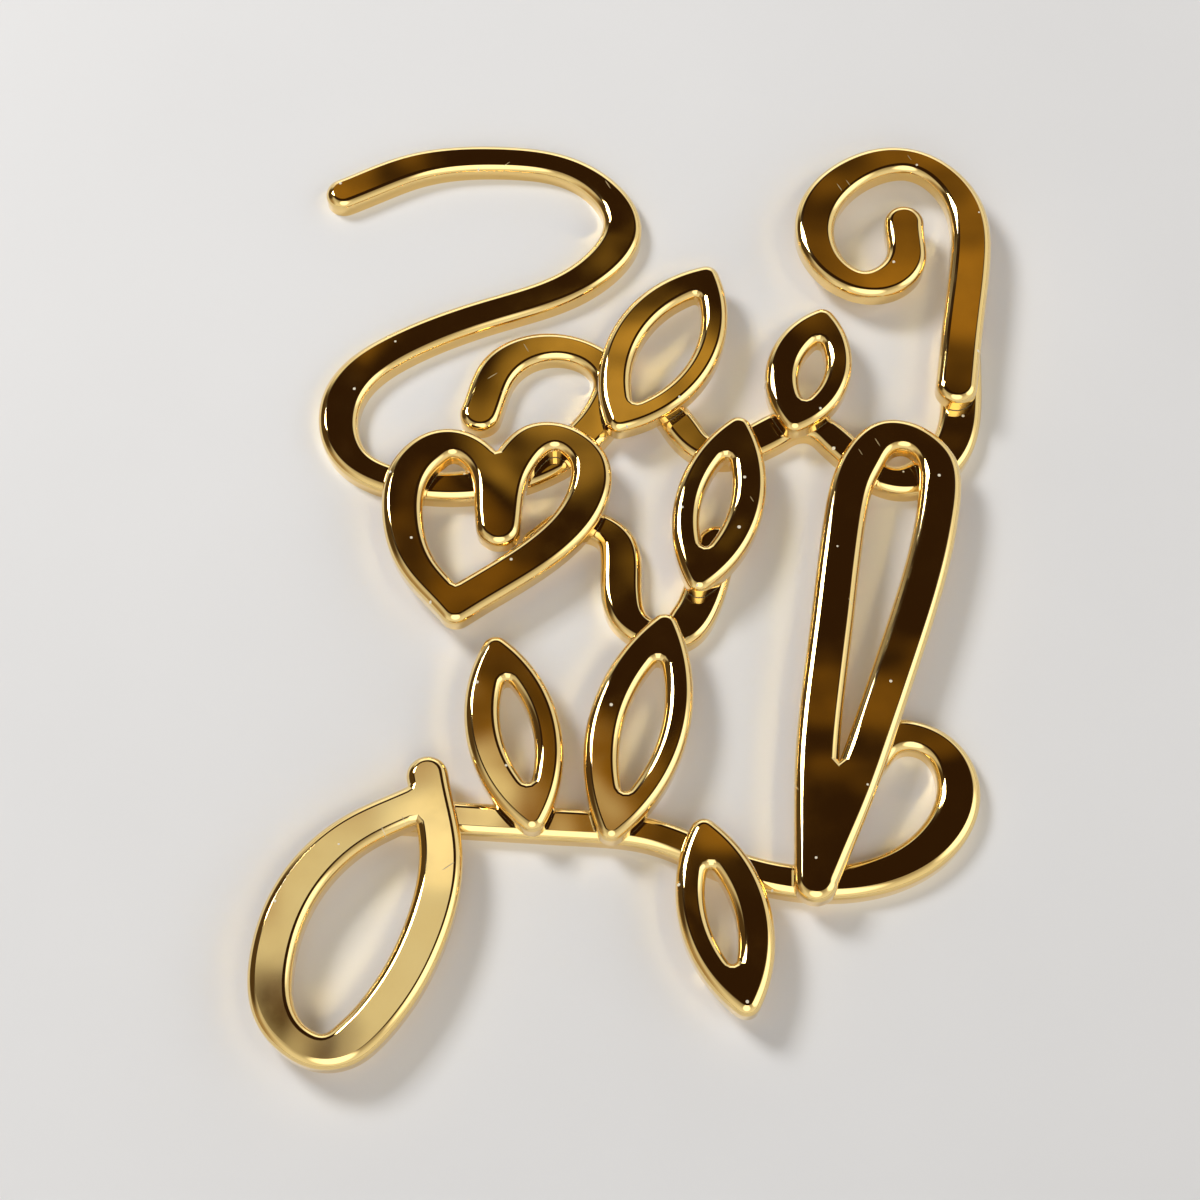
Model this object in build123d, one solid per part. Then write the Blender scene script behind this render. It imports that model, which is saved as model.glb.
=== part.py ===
# Celebration cake topper: a flourish of scrolls, vines, leaves, loops and a heart in mirror-gold acrylic.
# Every pen stroke is its own piece, cut from sheet with a polished bevel round its face. Scrolls and vines
# make the lower layer, leaves, loops and the heart lie over them, and clear adhesive bonds each lap.
import os
from math import atan2, cos, hypot, radians, sin, sqrt

from build123d import *

# Driving dimensions in millimetres
FIELD_WIDTH = 108.0  # the field that the flourish is laid out in, from left to right
FIELD_HEIGHT = 150.0  # the same field from bottom to top
SHEET = 3.0  # acrylic sheet of every piece
BOND = 0.2  # adhesive film between two layers
STROKE_THICK = 6.2  # stroke that runs along the pen's slant
STROKE_THIN = 4.6  # stroke that runs across it
BEVEL_WIDTH = 1.2  # bevel seen from above
BEVEL_DEPTH = 1.2  # bevel seen from the side
LEAF_BAND_THICK = 5.0  # left band of a leaf
LEAF_BAND_THIN = 4.0  # right band of a leaf
LEAF_TIP_RADIUS = 2.0  # rounding of a leaf's two tips
LEAF_HOLE_RADIUS = 0.6  # rounding of the two ends of its hole
OVERRUN = 1.0  # how far a cut runs past the faces it opens

# Angles and counts
PEN_SLANT = 68.0  # degrees, from the right-hand side
STEPS = 3  # places along a stroke for each span between two of its points

# Lines of the strokes, as shares of the field's width and height
crown_scroll_shares = [
    (0.07, 0.935), (0.17, 0.968), (0.30, 0.978), (0.42, 0.955), (0.472, 0.895), (0.42, 0.835),
    (0.30, 0.795), (0.17, 0.755), (0.085, 0.695), (0.095, 0.63), (0.20, 0.595), (0.33, 0.607),
    (0.425, 0.655), (0.455, 0.715), (0.39, 0.75), (0.30, 0.725), (0.275, 0.675),
]
upper_vine_shares = [
    (0.533, 0.68), (0.585, 0.635), (0.655, 0.645), (0.72, 0.665), (0.78, 0.632), (0.845, 0.60),
    (0.91, 0.625), (0.94, 0.69), (0.945, 0.755),
]
ripple_shares = [
    (0.36, 0.53), (0.408, 0.553), (0.456, 0.54), (0.468, 0.488), (0.487, 0.445), (0.533, 0.436),
    (0.575, 0.473), (0.597, 0.53),
]
lower_vine_shares = [
    (0.185, 0.255), (0.29, 0.25), (0.40, 0.245), (0.51, 0.235), (0.61, 0.205), (0.71, 0.19),
    (0.805, 0.20), (0.875, 0.235), (0.90, 0.285), (0.87, 0.325), (0.815, 0.33), (0.775, 0.303),
]
crook_shares = [
    (0.93, 0.695), (0.945, 0.765), (0.962, 0.84), (0.955, 0.915), (0.89, 0.96), (0.80, 0.945),
    (0.745, 0.885), (0.766, 0.832), (0.818, 0.812), (0.868, 0.835), (0.872, 0.885),
]
middle_heart_shares = [
    [
        (0.301, 0.54), (0.289, 0.602), (0.24, 0.63), (0.19, 0.608), (0.175, 0.555), (0.197, 0.50),
        (0.25, 0.4537),
    ],
    [
        (0.305, 0.539), (0.318, 0.60), (0.37, 0.638), (0.42, 0.618), (0.422, 0.57), (0.365, 0.515),
        (0.2513, 0.4573),
    ],
]
teardrop_loop_shares = [
    (0.22, 0.285), (0.24, 0.21), (0.22, 0.13), (0.168, 0.062), (0.105, 0.03), (0.052, 0.053),
    (0.036, 0.115), (0.065, 0.18), (0.13, 0.23), (0.218, 0.262),
]
tall_loop_shares = [
    (0.71, 0.185), (0.717, 0.30), (0.742, 0.43), (0.768, 0.55), (0.796, 0.612), (0.842, 0.64),
    (0.888, 0.622), (0.896, 0.57), (0.87, 0.49), (0.812, 0.37), (0.76, 0.27), (0.713, 0.193),
]

# Leaves: base, tip, and belly to each side as a share of the leaf's length
upper_leaf_shares = ((0.455, 0.64), (0.60, 0.835), 0.25)
bud_leaf_shares = ((0.70, 0.64), (0.755, 0.785), 0.28)
hanging_leaf_shares = ((0.635, 0.665), (0.565, 0.465), 0.21)
left_leaf_shares = ((0.36, 0.225), (0.298, 0.43), 0.21)
centre_leaf_shares = ((0.447, 0.215), (0.532, 0.455), 0.19)
right_leaf_shares = ((0.565, 0.25), (0.625, 0.055), 0.21)


def at(share):
    """Place in the field of a pair of shares."""
    across, up = share
    return Vector(across * FIELD_WIDTH, up * FIELD_HEIGHT)


def pen_width(along):
    """Width of a stroke that runs in a direction: widest along the pen's slant."""
    turn = atan2(along.Y, along.X) - radians(PEN_SLANT)
    return hypot(STROKE_THICK * cos(turn), STROKE_THIN * sin(turn))


def smooth(points, start, end):
    """Smooth line through points that leaves and arrives in the given directions."""
    return Spline(points, tangents=(start.normalized(), end.normalized()), tangent_scalars=(1, 1))


def track(shares):
    """Places along a smooth line through the points: middle, direction and half width of the stroke."""
    points = [at(share) for share in shares]
    line = smooth(points, points[1] - points[0], points[-1] - points[-2])
    count = STEPS * (len(shares) - 1)
    places = [step / count for step in range(count + 1)]
    return [(line @ place, line % place, pen_width(line % place) / 2) for place in places]


def cap(place, ahead, inset, first, last):
    """Round end of a stroke from its first side to its last, bulging ahead (1) or back (-1)."""
    middle, along, half = place
    lift = Vector(0, 0, first.Z)
    return ThreePointArc(first, middle + along * (ahead * (half - inset)) + lift, last)


def stroke_face(places, inset, height, rounded):
    """Outline of a stroke drawn in by an inset, at a height, with round or square ends."""
    lift = Vector(0, 0, height)
    left, right = [], []
    for middle, along, half in places:
        side = Vector(-along.Y, along.X) * (half - inset)
        left.append(middle + side + lift)
        right.append(middle - side + lift)
    start, end = places[0][1], places[-1][1]
    edges = [smooth(left, start, end), smooth(right, start, end)]
    for round_end, number, ahead in ((rounded[0], 0, -1), (rounded[1], -1, 1)):
        if round_end:
            edges.append(cap(places[number], ahead, inset, left[number], right[number]))
        else:
            edges.append(Line(left[number], right[number]))
    return make_face(edges)


def bevelled(face_at):
    """Solid of a sheet piece: upright wall, then bevel. face_at gives its outline by inset and height."""
    shoulder = SHEET - BEVEL_DEPTH
    return loft([face_at(0, 0), face_at(0, shoulder), face_at(BEVEL_WIDTH, SHEET)], ruled=True)


def stroke(shares):
    """One open pen stroke with round ends."""
    places = track(shares)
    return bevelled(lambda inset, height: stroke_face(places, inset, height, (True, True)))


def loop(shares):
    """A stroke that comes back to its start: two halves that meet square at its far end."""
    places = track(shares)
    far = len(places) // 2
    first, second = places[: far + 1], places[far:]
    return bevelled(lambda inset, height: stroke_face(first, inset, height, (True, False))) + bevelled(
        lambda inset, height: stroke_face(second, inset, height, (False, True))
    )


def heart(halves_shares):
    """Two strokes that cross at the notch and at the point."""
    left, right = halves_shares
    return stroke(left) + stroke(right)


def lens_face(middle, along, radius, belly, tip_radius, height):
    """Almond between two arcs of one radius, with both tips rounded."""
    aside = Vector(-along.Y, along.X)
    lift = Vector(0, 0, height)
    reach = sqrt((radius - tip_radius) ** 2 - (radius - belly) ** 2)
    corners = []
    for side in (1, -1):
        centre = middle - aside * (side * (radius - belly))
        for end in (1, -1):
            tip_centre = middle + along * (end * reach)
            corners.append(centre + (tip_centre - centre) * (radius / (radius - tip_radius)) + lift)
    left_tip, left_base, right_tip, right_base = corners
    tip = middle + along * (reach + tip_radius) + lift
    base = middle - along * (reach + tip_radius) + lift
    return make_face([
        ThreePointArc(left_base, middle + aside * belly + lift, left_tip),
        ThreePointArc(left_tip, tip, right_tip),
        ThreePointArc(right_tip, middle - aside * belly + lift, right_base),
        ThreePointArc(right_base, base, left_base),
    ])


def leaf(leaf_shares):
    """Almond ring from base to tip, with its left band thick and its right band thin."""
    base_share, tip_share, belly_share = leaf_shares
    base, tip = at(base_share), at(tip_share)
    span = tip - base
    middle, along = (base + tip) / 2, span.normalized()
    belly = belly_share * span.length
    radius = ((span.length / 2) ** 2 + belly**2) / (2 * belly)
    band = (LEAF_BAND_THICK + LEAF_BAND_THIN) / 2
    hole_middle = middle + Vector(along.Y, -along.X) * ((LEAF_BAND_THICK - LEAF_BAND_THIN) / 2)
    outside = bevelled(
        lambda inset, height: lens_face(
            middle, along, radius - inset, belly - inset, LEAF_TIP_RADIUS - inset, height
        )
    )

    def hole_face(widened, height):
        shrink = band - widened
        return lens_face(
            hole_middle, along, radius - shrink, belly - shrink, LEAF_HOLE_RADIUS + widened, height
        )

    flare = BEVEL_WIDTH * (BEVEL_DEPTH + OVERRUN) / BEVEL_DEPTH
    hole = loft(
        [hole_face(0, -OVERRUN), hole_face(0, SHEET - BEVEL_DEPTH), hole_face(flare, SHEET + OVERRUN)],
        ruled=True,
    )
    return outside - hole


def bond_pads(lower, upper):
    """Adhesive in every lap: where the flat top of a lower piece meets the flat back of an upper one."""
    pads = []
    for under in lower:
        top = extrude(under.faces().sort_by(Axis.Z)[-1], BOND)
        for over in upper:
            lap = top & extrude(over.faces().sort_by(Axis.Z)[0], BOND)
            if lap:
                pads.extend(lap.solids())
    return pads


lower_layer = {
    "crown_scroll": stroke(crown_scroll_shares),
    "upper_vine": stroke(upper_vine_shares),
    "ripple": stroke(ripple_shares),
    "lower_vine": stroke(lower_vine_shares),
}
upper_layer = {
    "crook": stroke(crook_shares),
    "middle_heart": heart(middle_heart_shares),
    "teardrop_loop": loop(teardrop_loop_shares),
    "tall_loop": loop(tall_loop_shares),
    "upper_leaf": leaf(upper_leaf_shares),
    "bud_leaf": leaf(bud_leaf_shares),
    "hanging_leaf": leaf(hanging_leaf_shares),
    "left_leaf": leaf(left_leaf_shares),
    "centre_leaf": leaf(centre_leaf_shares),
    "right_leaf": leaf(right_leaf_shares),
}
upper_layer = {name: piece.moved(Pos(0, 0, SHEET + BOND)) for name, piece in upper_layer.items()}
nodes = {**lower_layer, **upper_layer}
nodes["bond_pads"] = Compound(bond_pads(lower_layer.values(), upper_layer.values()))

# The origin is under the middle of the whole flourish
middle = Compound([solid for piece in nodes.values() for solid in piece.solids()]).bounding_box().center()
os.makedirs("parts", exist_ok=True)
for name, piece in nodes.items():
    export_step(piece.moved(Pos(-middle.X, -middle.Y, 0)), f"parts/{name}.step")
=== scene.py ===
from math import cos, radians, sin

import bmesh
import bpy
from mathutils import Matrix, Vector


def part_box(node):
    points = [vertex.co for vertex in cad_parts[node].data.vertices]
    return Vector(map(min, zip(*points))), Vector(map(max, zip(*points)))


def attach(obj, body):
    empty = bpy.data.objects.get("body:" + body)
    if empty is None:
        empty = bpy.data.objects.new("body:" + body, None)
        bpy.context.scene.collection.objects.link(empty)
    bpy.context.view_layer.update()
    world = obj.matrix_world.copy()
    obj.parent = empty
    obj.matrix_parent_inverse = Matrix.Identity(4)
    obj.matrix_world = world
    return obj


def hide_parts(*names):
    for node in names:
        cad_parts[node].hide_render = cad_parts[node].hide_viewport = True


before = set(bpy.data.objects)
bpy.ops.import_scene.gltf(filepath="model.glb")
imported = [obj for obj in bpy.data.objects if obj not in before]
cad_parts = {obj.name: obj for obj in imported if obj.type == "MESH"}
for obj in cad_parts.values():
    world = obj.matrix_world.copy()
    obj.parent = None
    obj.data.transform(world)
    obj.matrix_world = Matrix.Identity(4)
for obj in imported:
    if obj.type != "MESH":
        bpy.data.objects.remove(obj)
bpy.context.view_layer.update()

MM = 0.001

# Cut strokes, in millimetres and degrees
SHOULDER_WIDTH = 1.2  # rounded shoulder seen from above
SHOULDER_DEPTH = 1.3  # and seen from the side
SHOULDER_TURN = 66.0  # how far the shoulder turns before it meets the face in a crisp line
SHOULDER_STEPS = 16  # points across the shoulder
OUTLINE_STEP = 0.3  # spacing of points along an outline
POINT_MERGE = 0.05  # points of an outline that are closer than this are one
CORNER_TURN = 35.0  # past this an outline has a corner
CRISP_EDGE = 12.0  # two faces that meet at more than this are shaded apart
WELD = 0.0005  # points closer than this are the same point

# Mirror gold, in millimetres
FILM_SPAN = 14.0  # slow change of the gold film's tint
FILM_TINTS = ("#efca76", "#f6d992")
HAZE_SPAN = 5.0  # patches of faint haze
HAZE_SHARES = (0.35, 0.75)  # height of the haze's noise where the haze starts and where it is full
POLISH = (0.03, 0.09)  # roughness of the mirror where it is clear and where it is hazy
SWELL_SPAN = 45.0  # broad unevenness of the sheet
SWELL_HEIGHT = 0.6
DRIFT_SPAN = 16.0  # finer unevenness of the sheet
DRIFT_HEIGHT = 0.25
CUT_SPAN = 0.5  # upright lines that the cutter leaves on the wall
CUT_HEIGHT = 0.008
SKIN_ROUGHNESS = 0.02  # clear acrylic skin over the film
SKIN_IOR = 1.49

# Marks on the mirror, specks first and then hairlines: cell of the grid in mm, its turn in degrees, radius
# as a share of the cell, share of the cells that have a mark, and strength
MARKS = (
    ((9.0, 9.0), 20.0, 0.028, 0.50, 1.0),
    ((24.0, 2.2), 35.0, 0.045, 0.08, 0.35),
    ((20.0, 2.2), -62.0, 0.045, 0.08, 0.35),
)
MARK_COLOUR = "#e9dfc6"
MARK_ROUGHNESS = 0.5

# Adhesive and table, in millimetres
ADHESIVE_SPAN = 1.5  # patches of haze in the adhesive
ADHESIVE_COLOUR = "#efe9d8"
ADHESIVE_ROUGHNESS = (0.12, 0.35)  # where it is clear and where it is hazy
ADHESIVE_CLEARNESS = 0.9
ADHESIVE_IOR = 1.48
TABLE_SPAN = 60.0  # mottle of the table's paint
TABLE_TINTS = ("#dedede", "#e5e5e5")
TABLE_ROUGHNESS = 0.7
TABLE_SIZE = 40000.0  # wide enough that its edge is out of sight

# View, in millimetres and degrees
VIEW_TILT = 24.4  # camera's lean from straight down, towards the lower edge of the flourish
VIEW_LENS = 70.0
SENSOR = 36.0
VIEW_WIDTH = 173.5  # width of table in view, at the middle of the topper
VIEW_AIM = (-6.5, -4.0)  # point on the table at the middle of the picture

# Window light, in millimetres and watts
WINDOW_PLACE = (-680.0, 550.0, 820.0)
WINDOW_SIZE = 360.0
WINDOW_POWER = 8.6

# Room round the topper. Its walls have colours by height, from the floor line (0) to straight up (1). On
# them are soft places, each with its direction, its inner and outer radius on a dome of radius 1, and its
# colour
ROOM_STRENGTH = 1.85
WALL_STOPS = (
    (0.00, "#b8b8b8"), (0.10, "#b8b8b8"), (0.12, "#685c4c"), (0.15, "#685c4c"), (0.17, "#bcbcbc"),
    (0.60, "#b4b2ae"), (1.00, "#605648"),
)
SOFT_BOXES = (
    ((0.00, -0.64, 0.77), (0.28, 0.44), "#ffffff"),
    ((0.80, -0.05, 0.60), (0.24, 0.42), "#ffffff"),
    ((0.00, 1.00, 0.12), (0.25, 0.55), "#e6e6e6"),
)
DIM_CORNERS = (
    ((-1.00, -0.20, 0.25), (0.15, 0.60), "#80705a"),
    ((-0.86, 0.36, 0.38), (0.30, 0.55), "#3c2f1e"),
)
DARK_CEILING = ((0.00, 0.466, 1.0), (0.74, 0.82), "#22150a")
CEILING_GLOWS = (
    ((-0.105, 0.300, 1.0), (0.07, 0.14), "#7c5c22"),
    ((-0.105, 0.300, 1.0), (0.05, 0.10), "#acacaa"),
    ((-0.150, 0.245, 1.0), (0.00, 0.05), "#3a2c14"),
    ((-0.075, 0.330, 1.0), (0.00, 0.04), "#d4d2cc"),
    ((0.010, 0.560, 1.0), (0.00, 0.06), "#94793e"),
    ((0.180, 0.640, 1.0), (0.00, 0.08), "#7c5c22"),
    ((-0.140, 0.680, 1.0), (0.00, 0.05), "#7c5c22"),
    ((-0.060, 0.470, 1.0), (0.00, 0.04), "#5c4216"),
    ((0.060, 0.350, 1.0), (0.00, 0.05), "#7c5c22"),
    ((0.130, 0.400, 1.0), (0.00, 0.04), "#5c4216"),
)


def linear(hex_colour):
    """Linear colour with alpha from an sRGB hex value."""
    shares = [int(hex_colour[i : i + 2], 16) / 255 for i in (1, 3, 5)]
    return (*(s / 12.92 if s <= 0.04045 else ((s + 0.055) / 1.055) ** 2.4 for s in shares), 1.0)


def add(tree, kind, inputs=None, **settings):
    """Adds a node with its settings. inputs maps a socket's name or number to a value, to the socket that
    feeds it, or to a list of such sockets."""
    node = tree.nodes.new(kind)
    for name, value in settings.items():
        setattr(node, name, value)
    for key, value in (inputs or {}).items():
        for source in value if isinstance(value, list) else [value]:
            if isinstance(source, bpy.types.NodeSocket):
                tree.links.new(source, node.inputs[key])
            else:
                node.inputs[key].default_value = source
    return node


def new_material(name):
    """Empty node material with its Principled shader."""
    material = bpy.data.materials.new(name)
    material.use_nodes = True
    return material, material.node_tree, material.node_tree.nodes["Principled BSDF"]


def mirror_marks(tree, place, on_wall):
    """Dust specks and hairlines on the mirror, from none (0) to full (1). Each cell of a grid has one or
    none, and the wall has none. A real hairline is finer than a pixel, so it is drawn about 0.2 mm wide."""
    mark = 0.0
    for cell, turn, radius, kept, strength in MARKS:
        grid = add(tree, "ShaderNodeMapping", {
            "Vector": place, "Rotation": (0, 0, radians(turn)), "Scale": (cell[0] * MM, cell[1] * MM, 1),
        }, vector_type="TEXTURE")
        dots = add(tree, "ShaderNodeTexVoronoi", {
            "Vector": grid.outputs[0], "Scale": 1.0,
        }, voronoi_dimensions="2D").outputs
        chance = add(tree, "ShaderNodeSeparateColor", {0: dots["Color"]}).outputs
        reach = add(tree, "ShaderNodeMapRange", {
            "Value": chance["Green"], "To Min": radius / 2, "To Max": radius,
        })
        near = add(tree, "ShaderNodeMath", {
            0: dots["Distance"], 1: reach.outputs["Result"],
        }, operation="LESS_THAN")
        some = add(tree, "ShaderNodeMath", {0: chance["Red"], 1: 1 - kept}, operation="GREATER_THAN")
        both = add(tree, "ShaderNodeMath", {0: near.outputs[0], 1: some.outputs[0]}, operation="MULTIPLY")
        mark = add(tree, "ShaderNodeMath", {
            0: both.outputs[0], 1: strength, 2: mark,
        }, operation="MULTIPLY_ADD", use_clamp=True).outputs[0]
    off_wall = add(tree, "ShaderNodeMath", {0: mark, 1: on_wall}, operation="SUBTRACT", use_clamp=True)
    return off_wall.outputs[0]


def mirror_gold_material():
    """Acrylic sheet, vacuum-metallised in gold: a mirror under a clear skin. Its face is never quite flat,
    so reflections drift from dark brown to amber. A few dust specks and short hairlines scatter light, and
    the wall keeps faint upright lines from the cutter."""
    material, tree, shader = new_material("metallised_acrylic_mirror_gold")
    place = add(tree, "ShaderNodeTexCoord").outputs["Object"]
    on_wall = add(tree, "ShaderNodeAttribute", attribute_name="wall").outputs["Fac"]
    run = add(tree, "ShaderNodeAttribute", attribute_name="run").outputs["Fac"]
    mark = mirror_marks(tree, place, on_wall)

    film = add(tree, "ShaderNodeTexNoise", {"Vector": place, "Scale": 1 / (FILM_SPAN * MM), "Detail": 2.0})
    tint = add(tree, "ShaderNodeMix", {
        "Factor": film.outputs["Fac"], "A": linear(FILM_TINTS[0]), "B": linear(FILM_TINTS[1]),
    }, data_type="RGBA")
    colour = add(tree, "ShaderNodeMix", {
        "Factor": mark, "A": tint.outputs["Result"], "B": linear(MARK_COLOUR),
    }, data_type="RGBA")
    haze = add(tree, "ShaderNodeTexNoise", {"Vector": place, "Scale": 1 / (HAZE_SPAN * MM), "Detail": 4.0})
    polish = add(tree, "ShaderNodeMapRange", {
        "Value": haze.outputs["Fac"], "From Min": HAZE_SHARES[0], "From Max": HAZE_SHARES[1],
        "To Min": POLISH[0], "To Max": POLISH[1],
    })
    rough = add(tree, "ShaderNodeMapRange", {
        "Value": mark, "To Min": polish.outputs["Result"], "To Max": MARK_ROUGHNESS,
    })
    metal = add(tree, "ShaderNodeMapRange", {"Value": mark, "To Min": 1.0, "To Max": 0.0})

    swell = add(tree, "ShaderNodeTexNoise", {"Vector": place, "Scale": 1 / (SWELL_SPAN * MM), "Detail": 0.0})
    broad = add(tree, "ShaderNodeBump", {"Height": swell.outputs["Fac"], "Distance": SWELL_HEIGHT * MM})
    drift = add(tree, "ShaderNodeTexNoise", {"Vector": place, "Scale": 1 / (DRIFT_SPAN * MM), "Detail": 1.0})
    uneven = add(tree, "ShaderNodeBump", {
        "Height": drift.outputs["Fac"], "Distance": DRIFT_HEIGHT * MM, "Normal": broad.outputs[0],
    })
    lines = add(tree, "ShaderNodeTexNoise", {
        "W": run, "Scale": 1 / (CUT_SPAN * MM), "Detail": 1.0,
    }, noise_dimensions="1D")
    cut = add(tree, "ShaderNodeMath", {0: lines.outputs["Fac"], 1: on_wall}, operation="MULTIPLY")
    relief = add(tree, "ShaderNodeBump", {
        "Height": cut.outputs[0], "Distance": CUT_HEIGHT * MM, "Normal": uneven.outputs[0],
    })

    tree.links.new(colour.outputs["Result"], shader.inputs["Base Color"])
    tree.links.new(rough.outputs["Result"], shader.inputs["Roughness"])
    tree.links.new(metal.outputs["Result"], shader.inputs["Metallic"])
    tree.links.new(relief.outputs[0], shader.inputs["Normal"])
    shader.inputs["Coat Weight"].default_value = 1.0
    shader.inputs["Coat Roughness"].default_value = SKIN_ROUGHNESS
    shader.inputs["Coat IOR"].default_value = SKIN_IOR
    return material


def clear_adhesive_material():
    """Cured acrylic adhesive: a clear film with a faint haze that dulls what lies under it."""
    material, tree, shader = new_material("cured_clear_adhesive")
    place = add(tree, "ShaderNodeTexCoord").outputs["Object"]
    haze = add(tree, "ShaderNodeTexNoise", {
        "Vector": place, "Scale": 1 / (ADHESIVE_SPAN * MM), "Detail": 3.0,
    })
    rough = add(tree, "ShaderNodeMapRange", {
        "Value": haze.outputs["Fac"], "To Min": ADHESIVE_ROUGHNESS[0], "To Max": ADHESIVE_ROUGHNESS[1],
    })
    tree.links.new(rough.outputs["Result"], shader.inputs["Roughness"])
    shader.inputs["Base Color"].default_value = linear(ADHESIVE_COLOUR)
    shader.inputs["Transmission Weight"].default_value = ADHESIVE_CLEARNESS
    shader.inputs["IOR"].default_value = ADHESIVE_IOR
    return material


def table_material():
    """Matt white-painted board: pale and even, with no gloss to speak of."""
    material, tree, shader = new_material("matt_painted_board")
    place = add(tree, "ShaderNodeTexCoord").outputs["Object"]
    mottle = add(tree, "ShaderNodeTexNoise", {
        "Vector": place, "Scale": 1 / (TABLE_SPAN * MM), "Detail": 3.0,
    })
    tint = add(tree, "ShaderNodeMix", {
        "Factor": mottle.outputs["Fac"], "A": linear(TABLE_TINTS[0]), "B": linear(TABLE_TINTS[1]),
    }, data_type="RGBA")
    tree.links.new(tint.outputs["Result"], shader.inputs["Base Color"])
    shader.inputs["Roughness"].default_value = TABLE_ROUGHNESS
    return material


def raised_stroke_tree():
    """Geometry Nodes that raise outlines, whose material lies on their right, into a piece of sheet with an
    upright wall, a rounded shoulder and a flat face. Its points keep their run along the outline and whether
    they are on the wall."""
    tree = bpy.data.node_groups.new("raised_stroke", "GeometryNodeTree")
    tree.interface.new_socket("Geometry", in_out="OUTPUT", socket_type="NodeSocketGeometry")
    sockets = {
        "Outline": "Geometry", "Spacing": "Float", "Sheet": "Float", "Base": "Float",
        "Shoulder width": "Float", "Shoulder depth": "Float", "Shoulder turn": "Float",
        "Shoulder steps": "Int", "Crisp edge": "Float", "Weld": "Float", "Material": "Material",
    }
    for name, kind in sockets.items():
        tree.interface.new_socket(name, in_out="INPUT", socket_type=f"NodeSocket{kind}")
    given = add(tree, "NodeGroupInput").outputs

    # Outline
    even = add(tree, "GeometryNodeResampleCurve", {
        "Curve": given["Outline"], "Length": given["Spacing"],
    }, mode="LENGTH")
    measured = add(tree, "GeometryNodeStoreNamedAttribute", {
        "Geometry": even.outputs[0], "Name": "run",
        "Value": add(tree, "GeometryNodeSplineParameter").outputs["Length"],
    })
    outline = add(tree, "GeometryNodeSetCurveNormal", {"Curve": measured.outputs[0]}, mode="Z_UP").outputs[0]

    # Wall. A profile's X runs into the material and its Y runs down
    wall_top = add(tree, "ShaderNodeMath", {
        0: given["Shoulder depth"], 1: given["Sheet"],
    }, operation="SUBTRACT").outputs[0]
    wall_line = add(tree, "GeometryNodeCurvePrimitiveLine", {
        "Start": (0, 0, 0), "End": add(tree, "ShaderNodeCombineXYZ", {"Y": wall_top}).outputs[0],
    })
    wall = add(tree, "GeometryNodeCurveToMesh", {"Curve": outline, "Profile Curve": wall_line.outputs[0]})
    wall = add(tree, "GeometryNodeStoreNamedAttribute", {
        "Geometry": wall.outputs[0], "Name": "wall", "Value": 1.0,
    })

    # Shoulder: part of an ellipse from upright to the crisp line at the face
    steps = add(tree, "GeometryNodeResampleCurve", {
        "Curve": add(tree, "GeometryNodeCurvePrimitiveLine").outputs[0], "Count": given["Shoulder steps"],
    }, mode="COUNT")
    turn = add(tree, "ShaderNodeMath", {
        0: add(tree, "GeometryNodeSplineParameter").outputs["Factor"], 1: given["Shoulder turn"],
    }, operation="MULTIPLY").outputs[0]
    sunk, risen = [], []
    for angle in (turn, given["Shoulder turn"]):
        cosine = add(tree, "ShaderNodeMath", {0: angle}, operation="COSINE").outputs[0]
        sunk.append(add(tree, "ShaderNodeMath", {0: 1.0, 1: cosine}, operation="SUBTRACT").outputs[0])
        risen.append(add(tree, "ShaderNodeMath", {0: angle}, operation="SINE").outputs[0])
    inward_share = add(tree, "ShaderNodeMath", {0: sunk[0], 1: sunk[1]}, operation="DIVIDE").outputs[0]
    upward_share = add(tree, "ShaderNodeMath", {0: risen[0], 1: risen[1]}, operation="DIVIDE").outputs[0]
    inward = add(tree, "ShaderNodeMath", {
        0: inward_share, 1: given["Shoulder width"],
    }, operation="MULTIPLY").outputs[0]
    upward = add(tree, "ShaderNodeMath", {
        0: upward_share, 1: given["Shoulder depth"],
    }, operation="MULTIPLY").outputs[0]
    down = add(tree, "ShaderNodeMath", {0: wall_top, 1: upward}, operation="SUBTRACT").outputs[0]
    arc = add(tree, "GeometryNodeSetPosition", {
        "Geometry": steps.outputs[0],
        "Position": add(tree, "ShaderNodeCombineXYZ", {"X": inward, "Y": down}).outputs[0],
    })
    shoulder = add(tree, "GeometryNodeCurveToMesh", {"Curve": outline, "Profile Curve": arc.outputs[0]})

    # Flat face and back
    inset = add(tree, "ShaderNodeVectorMath", {
        0: add(tree, "GeometryNodeInputNormal").outputs[0], "Scale": given["Shoulder width"],
    }, operation="SCALE")
    rim = add(tree, "GeometryNodeSetPosition", {"Geometry": outline, "Offset": inset.outputs[0]})
    inner = add(tree, "GeometryNodeFillCurve", {"Curve": rim.outputs[0]}, mode="TRIANGLES")
    face = add(tree, "GeometryNodeTransform", {
        "Geometry": inner.outputs[0],
        "Translation": add(tree, "ShaderNodeCombineXYZ", {"Z": given["Sheet"]}).outputs[0],
    })
    whole = add(tree, "GeometryNodeFillCurve", {"Curve": outline}, mode="TRIANGLES")
    back = add(tree, "GeometryNodeFlipFaces", {"Mesh": whole.outputs[0]})

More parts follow.
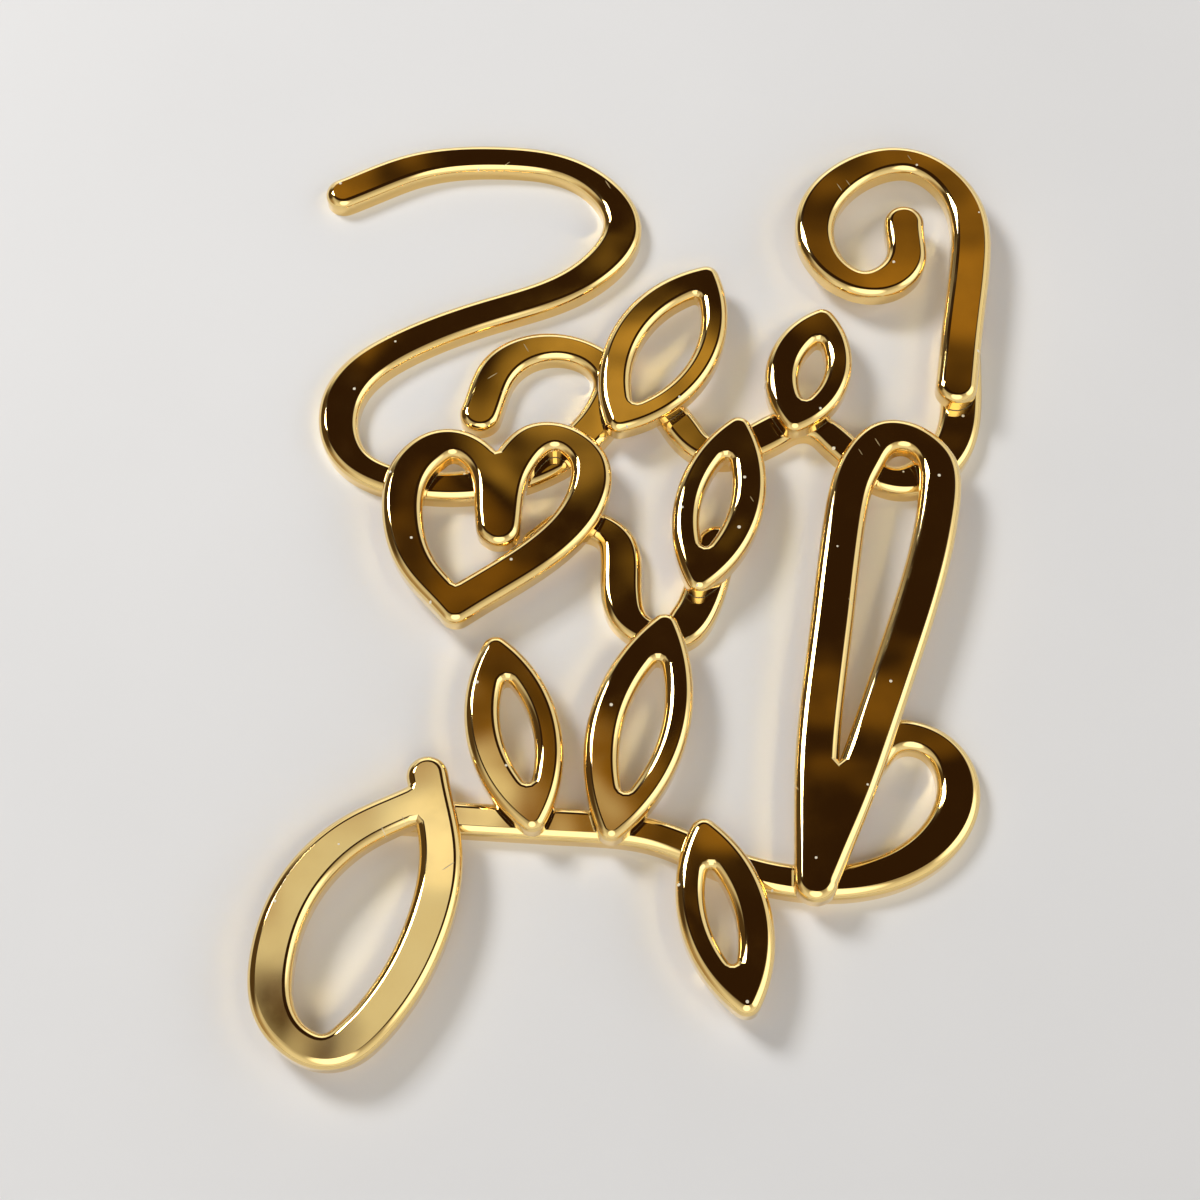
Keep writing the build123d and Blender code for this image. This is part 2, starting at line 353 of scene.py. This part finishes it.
    # One closed skin, with crisp lines at the face and the back
    joined = add(tree, "GeometryNodeJoinGeometry", {
        0: [wall.outputs[0], shoulder.outputs[0], face.outputs[0], back.outputs[0]],
    })
    welded = add(tree, "GeometryNodeMergeByDistance", {
        "Geometry": joined.outputs[0], "Distance": given["Weld"],
    })
    smooth = add(tree, "GeometryNodeSetShadeSmooth", {"Geometry": welded.outputs[0], "Shade Smooth": True})
    sharp = add(tree, "ShaderNodeMath", {
        0: add(tree, "GeometryNodeInputMeshEdgeAngle").outputs["Unsigned Angle"], 1: given["Crisp edge"],
    }, operation="GREATER_THAN").outputs[0]
    crisp = add(tree, "GeometryNodeSetShadeSmooth", {
        "Geometry": smooth.outputs[0], "Selection": sharp, "Shade Smooth": False,
    }, domain="EDGE")
    placed = add(tree, "GeometryNodeTransform", {
        "Geometry": crisp.outputs[0],
        "Translation": add(tree, "ShaderNodeCombineXYZ", {"Z": given["Base"]}).outputs[0],
    })
    real = add(tree, "GeometryNodeRealizeInstances", {"Geometry": placed.outputs[0]})
    finished = add(tree, "GeometryNodeSetMaterial", {
        "Geometry": real.outputs[0], "Material": given["Material"],
    })
    add(tree, "NodeGroupOutput", {"Geometry": finished.outputs[0]})
    return tree


def outlines(node):
    """Closed outlines of a CAD solid's flat back, as lists of points with the material on their right."""
    mesh = bmesh.new()
    mesh.from_mesh(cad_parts[node].data)
    bmesh.ops.remove_doubles(mesh, verts=mesh.verts, dist=WELD * MM)
    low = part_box(node)[0].z
    # In the order of the mesh, so that every run starts an outline at the same point
    back = dict.fromkeys(f for f in mesh.faces if all(abs(v.co.z - low) < WELD * MM for v in f.verts))
    onward = {}
    for face in back:
        for corner in face.loops:
            if not any(other in back for other in corner.edge.link_faces if other is not face):
                onward[corner.vert] = corner.link_loop_next.vert
    loops = []
    while onward:
        start, vert = onward.popitem()
        loop = [start.co.copy()]
        while vert is not start:
            loop.append(vert.co.copy())
            vert = onward.pop(vert)
        loops.append(loop)
    mesh.free()
    return loops


def outline_curve(node):
    """Smooth curve through a solid's outlines, with its corners kept."""
    curve = bpy.data.curves.new(f"{node}_outline", "CURVE")
    curve.dimensions = "3D"
    for loop in outlines(node):
        points = [p for p, q in zip(loop, loop[1:] + loop[:1]) if (q - p).length > POINT_MERGE * MM]
        spline = curve.splines.new("BEZIER")
        spline.bezier_points.add(len(points) - 1)
        spline.use_cyclic_u = True
        for i, (point, p) in enumerate(zip(spline.bezier_points, points)):
            before, after = p - points[i - 1], points[(i + 1) % len(points)] - p
            handle = "VECTOR" if before.angle(after) > radians(CORNER_TURN) else "AUTO"
            point.co = (p.x, p.y, 0)
            point.handle_left_type = point.handle_right_type = handle
    return curve


def cut_stroke(node, tree, material):
    """Finished piece of one CAD stroke."""
    shaped = bpy.data.objects.new(f"{node}_shaping", outline_curve(node))
    bpy.context.scene.collection.objects.link(shaped)
    modifier = shaped.modifiers.new("raised_stroke", "NODES")
    modifier.node_group = tree
    low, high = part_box(node)
    values = {
        "Spacing": OUTLINE_STEP * MM, "Sheet": high.z - low.z, "Base": low.z,
        "Shoulder width": SHOULDER_WIDTH * MM, "Shoulder depth": SHOULDER_DEPTH * MM,
        "Shoulder turn": radians(SHOULDER_TURN), "Shoulder steps": SHOULDER_STEPS,
        "Crisp edge": radians(CRISP_EDGE), "Weld": WELD * MM, "Material": material,
    }
    for item in tree.interface.items_tree:
        if item.in_out == "INPUT" and item.name in values:
            modifier[item.identifier] = values[item.name]
    graph = bpy.context.evaluated_depsgraph_get()
    mesh = bpy.data.meshes.new_from_object(shaped.evaluated_get(graph))
    bpy.data.objects.remove(shaped)
    piece = bpy.data.objects.new(f"{node}_mirror", mesh)
    bpy.context.scene.collection.objects.link(piece)
    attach(piece, "root")
    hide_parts(node)


def table():
    """Wide pale floor that the topper lies on."""
    mesh = bpy.data.meshes.new("table")
    reach = TABLE_SIZE * MM / 2
    corners = [(-reach, -reach, 0), (reach, -reach, 0), (reach, reach, 0), (-reach, reach, 0)]
    mesh.from_pydata(corners, [], [(0, 1, 2, 3)])
    mesh.materials.append(table_material())
    floor = bpy.data.objects.new("table", mesh)
    bpy.context.scene.collection.objects.link(floor)


def window_light():
    """Soft window at the upper left."""
    light = bpy.data.lights.new("window", "AREA")
    light.size = WINDOW_SIZE * MM
    light.energy = WINDOW_POWER
    lamp = bpy.data.objects.new("window", light)
    lamp.location = Vector(WINDOW_PLACE) * MM
    lamp.rotation_euler = (-Vector(WINDOW_PLACE)).to_track_quat("-Z", "Y").to_euler()
    bpy.context.scene.collection.objects.link(lamp)


def room():
    """Pale walls with soft boxes and dim corners, and a dark ceiling with glows for the mirror faces."""
    world = bpy.data.worlds.new("room")
    world.use_nodes = True
    bpy.context.scene.world = world
    tree = world.node_tree
    way = add(tree, "ShaderNodeTexCoord").outputs["Generated"]
    height = add(tree, "ShaderNodeSeparateXYZ", {0: way}).outputs["Z"]
    walls = add(tree, "ShaderNodeValToRGB", {"Fac": height})
    stops = walls.color_ramp.elements
    for stop, (position, colour) in zip(stops, (WALL_STOPS[0], WALL_STOPS[-1])):
        stop.position = position
        stop.color = linear(colour)
    for position, colour in WALL_STOPS[1:-1]:
        stops.new(position).color = linear(colour)
    glow = walls.outputs["Color"]
    for place, radius, colour in (*SOFT_BOXES, *DIM_CORNERS, DARK_CEILING, *CEILING_GLOWS):
        apart = add(tree, "ShaderNodeVectorMath", {
            0: way, 1: Vector(place).normalized(),
        }, operation="DISTANCE")
        near = add(tree, "ShaderNodeMapRange", {
            "Value": apart.outputs["Value"], "From Min": radius[0], "From Max": radius[1],
            "To Min": 1.0, "To Max": 0.0,
        }, interpolation_type="SMOOTHSTEP")
        glow = add(tree, "ShaderNodeMix", {
            "Factor": near.outputs["Result"], "A": glow, "B": linear(colour),
        }, data_type="RGBA").outputs["Result"]
    background = tree.nodes["Background"]
    tree.links.new(glow, background.inputs["Color"])
    background.inputs["Strength"].default_value = ROOM_STRENGTH


def view():
    """Camera at the photograph's angle, looking down at the topper from its lower edge."""
    lens = bpy.data.cameras.new("view")
    lens.lens = VIEW_LENS
    lens.sensor_width = SENSOR
    lens.clip_start = MM
    camera = bpy.data.objects.new("view", lens)
    distance = VIEW_WIDTH * VIEW_LENS / SENSOR
    tilt = radians(VIEW_TILT)
    camera.location = (Vector((*VIEW_AIM, 0)) + Vector((0, -sin(tilt), cos(tilt))) * distance) * MM
    camera.rotation_euler = (tilt, 0, 0)
    bpy.context.scene.collection.objects.link(camera)
    bpy.context.scene.camera = camera


gold = mirror_gold_material()
stroke_tree = raised_stroke_tree()
for node in sorted(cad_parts):
    if node != "bond_pads":
        cut_stroke(node, stroke_tree, gold)
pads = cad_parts["bond_pads"].data.materials
adhesive = clear_adhesive_material()
for i in range(len(pads)):
    pads[i] = adhesive

table()
window_light()
room()
view()
bpy.context.scene.view_settings.view_transform = "Standard"
# The light that the gold throws on the table stays as crisp as the mirror
bpy.context.scene.cycles.blur_glossy = 0.0
